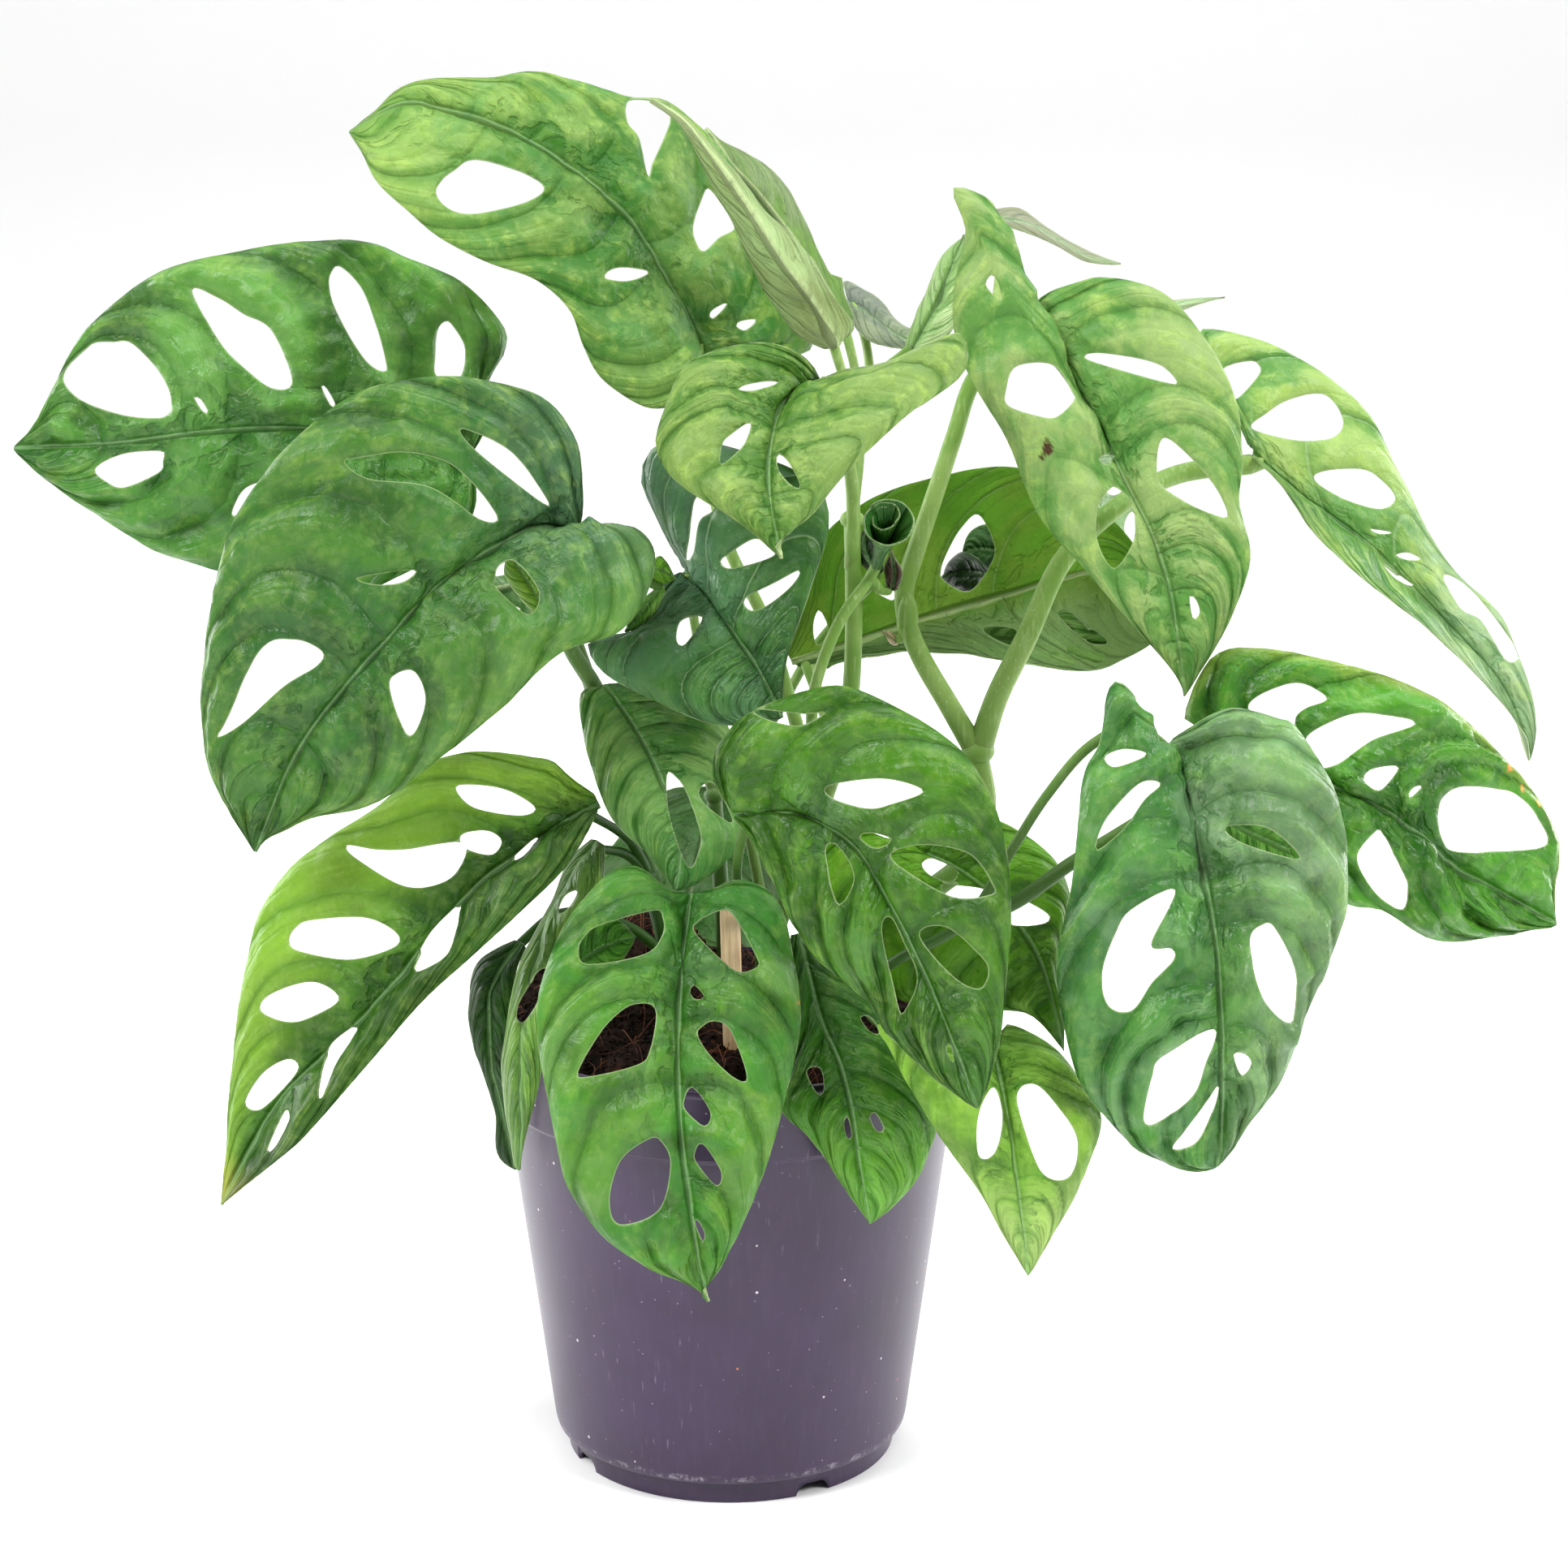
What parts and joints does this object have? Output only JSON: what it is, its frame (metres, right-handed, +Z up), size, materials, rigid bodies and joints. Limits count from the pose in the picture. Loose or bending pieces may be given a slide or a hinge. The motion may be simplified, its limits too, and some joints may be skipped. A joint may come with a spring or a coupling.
{
  "type": "potted monstera plant",
  "caption": "Young perforated-leaf climbing aroid in a tapered plastic grower's pot with soil and a short wooden stake; stands on its foot.",
  "frame": {"origin": "under the middle of the whole plant, on the surface the pot stands on", "axes": "+Z up, -Y toward the side the picture shows, +X to its right"},
  "size_m": [0.378, 0.1726, 0.3503],
  "materials": {
    "leaf_young": "satin",
    "leaf_fresh": "satin",
    "leaf_mature": "satin",
    "leaf_dark": "satin",
    "stalk": "satin",
    "pot_plastic": "satin",
    "soil": "matte",
    "stake_wood": "matte"
  },
  "bodies": {
    "root": {"stems_right": "stalk", "stems_centre": "stalk", "stems_left": "stalk", "stems_back": "stalk", "stems_front": "stalk", "pot": "pot_plastic", "soil": "soil", "stake": "stake_wood", "leaf_rolled": "leaf_dark", "leaf_top_left": "leaf_fresh", "leaf_top_folded": "leaf_young", "leaf_top_behind": "leaf_fresh", "leaf_top_edge": "leaf_fresh", "leaf_centre_top": "leaf_young", "leaf_right_top": "leaf_young", "leaf_far_right": "leaf_fresh", "leaf_right_mid": "leaf_mature", "leaf_right_front": "leaf_mature", "leaf_centre_back": "leaf_fresh", "leaf_centre_dark": "leaf_dark", "leaf_centre_low": "leaf_mature", "leaf_front_right": "leaf_mature", "leaf_front_centre": "leaf_fresh", "leaf_left_low": "leaf_fresh", "leaf_low_right": "leaf_dark", "leaf_low_far_right": "leaf_fresh", "leaf_behind_right": "leaf_fresh", "leaf_left_rim": "leaf_dark", "leaf_left_narrow": "leaf_fresh", "leaf_left": "leaf_mature", "leaf_left_front": "leaf_dark", "leaf_right_back_edge": "leaf_young", "leaf_right_back_tip": "leaf_young", "leaf_back_left": "leaf_mature", "leaf_back_centre": "leaf_mature", "leaf_back_right": "leaf_fresh"}
  },
  "joints": []
}
